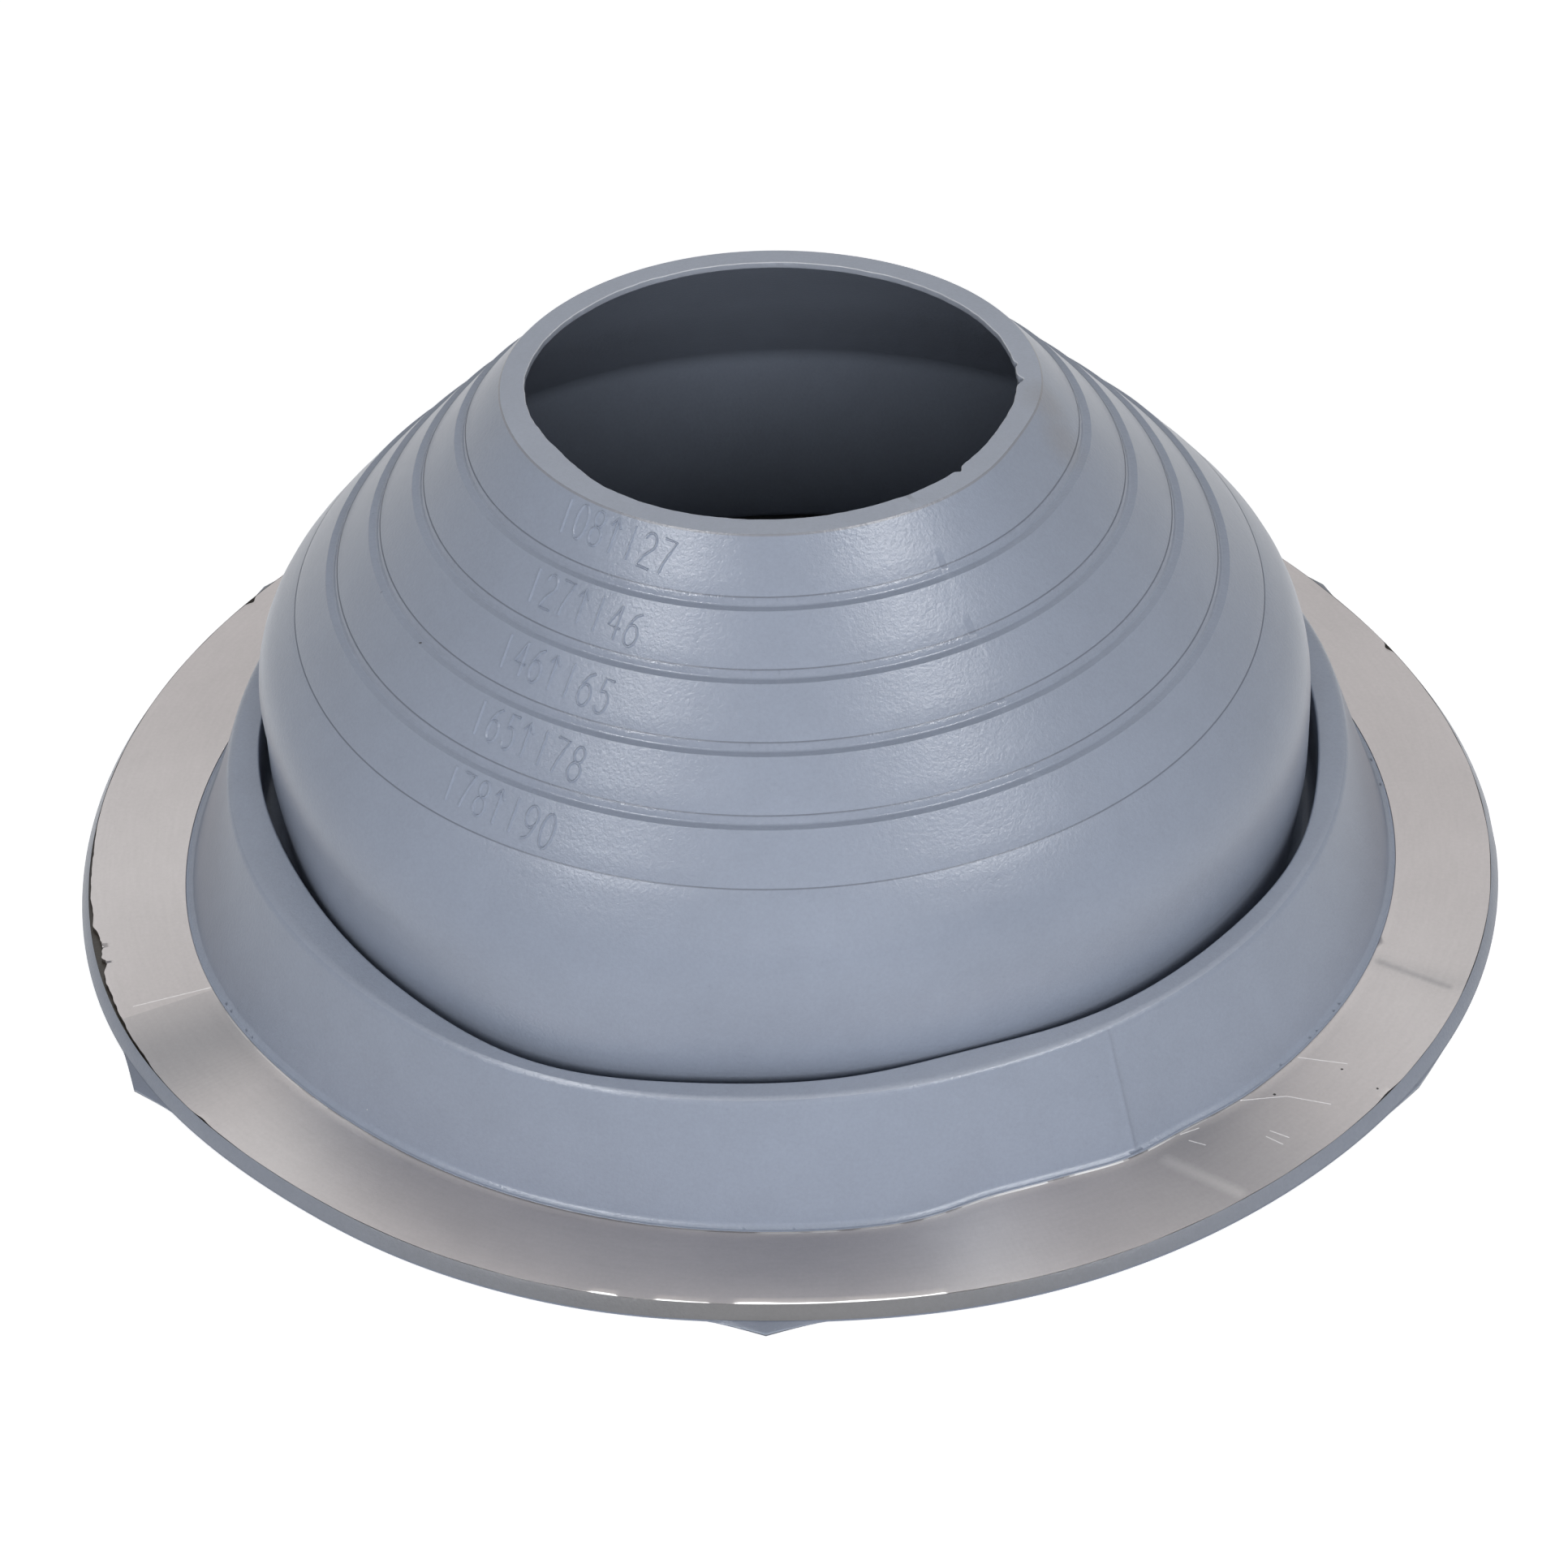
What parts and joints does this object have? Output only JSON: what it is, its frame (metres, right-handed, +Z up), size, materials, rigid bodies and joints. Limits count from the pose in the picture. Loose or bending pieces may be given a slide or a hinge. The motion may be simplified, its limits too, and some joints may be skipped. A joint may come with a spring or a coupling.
{
  "type": "pipe flashing boot",
  "caption": "Round-based stepped rubber roof boot that seals a pipe through a roof, with a bendable aluminium ring bonded on its base flange and an annular fold between dome and skirt.",
  "frame": {"origin": "centre of the underside of the base flange, where its rib and foot band meet the roof, on the boot's axis", "axes": "+Z up the boot's axis towards the rim, -Y is the front, where the step markings are"},
  "size_m": [0.28, 0.285, 0.1031],
  "materials": {
    "rubber": "satin",
    "ring_metal": "satin"
  },
  "bodies": {
    "root": {"rubber_boot": "rubber", "aluminium_ring": "ring_metal"}
  },
  "joints": []
}
